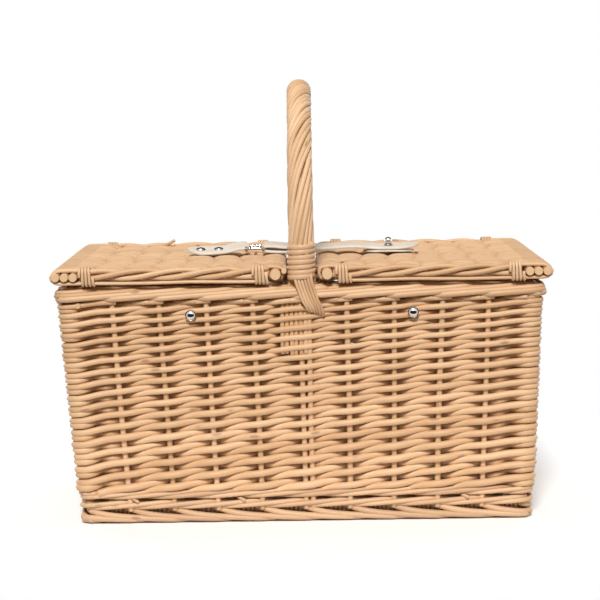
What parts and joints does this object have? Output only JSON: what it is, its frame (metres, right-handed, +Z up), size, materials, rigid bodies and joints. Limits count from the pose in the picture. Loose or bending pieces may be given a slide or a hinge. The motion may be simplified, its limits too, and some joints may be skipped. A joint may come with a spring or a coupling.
{
  "type": "wicker picnic basket",
  "caption": "Rectangular woven willow picnic basket with hinged half lids, a fixed roped arch handle over the middle, and a leather strap with buckle that ties the lids together.",
  "frame": {"origin": "centre of the footprint, on the floor", "axes": "+X along the basket's length to the right as seen from the front, +Y to the back wall, +Z up; the front wall faces -Y"},
  "size_m": [0.465, 0.304, 0.4138],
  "materials": {
    "willow_weave": "satin",
    "willow_stick": "satin",
    "willow_core": "satin",
    "willow_skein": "satin",
    "leather": "matte",
    "nickel": "polished"
  },
  "bodies": {
    "basket": {"foot_border": "willow_weave", "lower_wale": "willow_weave", "side_weave": "willow_weave", "top_border": "willow_weave", "corner_post_front_left": "willow_core", "corner_post_front_right": "willow_core", "corner_post_back_left": "willow_core", "corner_post_back_right": "willow_core", "base_weave": "willow_weave", "base_stick_1": "willow_core", "base_stick_2": "willow_core", "base_stick_3": "willow_core", "handle_bow": "willow_core", "handle_rope": "willow_weave", "handle_wrap_front": "willow_skein", "handle_tie_front": "willow_skein", "handle_wrap_back": "willow_skein", "handle_tie_back": "willow_skein", "crossbar": "willow_core", "hinge_loop_left_front": "willow_skein", "hinge_loop_left_back": "willow_skein", "hinge_loop_right_front": "willow_skein", "hinge_loop_right_back": "willow_skein", "glass_loop_left": "leather", "wall_stud_left": "nickel", "glass_loop_right": "leather", "wall_stud_right": "nickel", "strap_centre": "leather"},
    "left_lid": {"left_lid_weave": "willow_weave", "left_lid_outer_stick_1": "willow_stick", "left_lid_outer_stick_2": "willow_stick", "left_lid_outer_stick_3": "willow_stick", "left_lid_inner_stick": "willow_stick", "left_lid_front_edge": "willow_weave", "left_lid_front_binding_outer": "willow_skein", "left_lid_front_binding_inner": "willow_skein", "left_lid_back_edge": "willow_weave", "left_lid_back_binding_outer": "willow_skein", "left_lid_back_binding_inner": "willow_skein", "buckle_chape": "leather", "chape_rivet_1": "nickel", "chape_rivet_2": "nickel", "buckle_frame": "nickel", "strap_left": "leather"},
    "right_lid": {"right_lid_weave": "willow_weave", "right_lid_outer_stick_1": "willow_stick", "right_lid_outer_stick_2": "willow_stick", "right_lid_outer_stick_3": "willow_stick", "right_lid_inner_stick": "willow_stick", "right_lid_front_edge": "willow_weave", "right_lid_front_binding_outer": "willow_skein", "right_lid_front_binding_inner": "willow_skein", "right_lid_back_edge": "willow_weave", "right_lid_back_binding_outer": "willow_skein", "right_lid_back_binding_inner": "willow_skein", "strap_right": "leather", "stud_patch": "leather", "ball_stud": "nickel"},
    "strap_tail": {"strap_end": "leather"}
  },
  "joints": [
    {"name": "left_lid_hinge", "type": "hinge", "parent": "basket", "child": "left_lid", "pos_m": [-0.024, 0, 0.2352], "axis": [0, 1, 0], "range_deg": [0, 80]},
    {"name": "right_lid_hinge", "type": "hinge", "parent": "basket", "child": "right_lid", "pos_m": [0.024, 0, 0.2352], "axis": [0, -1, 0], "range_deg": [0, 80]},
    {"name": "strap_tail_bend", "type": "hinge", "parent": "right_lid", "child": "strap_tail", "pos_m": [0.032, -0.002, 0.2503], "axis": [0, -1, 0], "range_deg": [0, 30]}
  ]
}
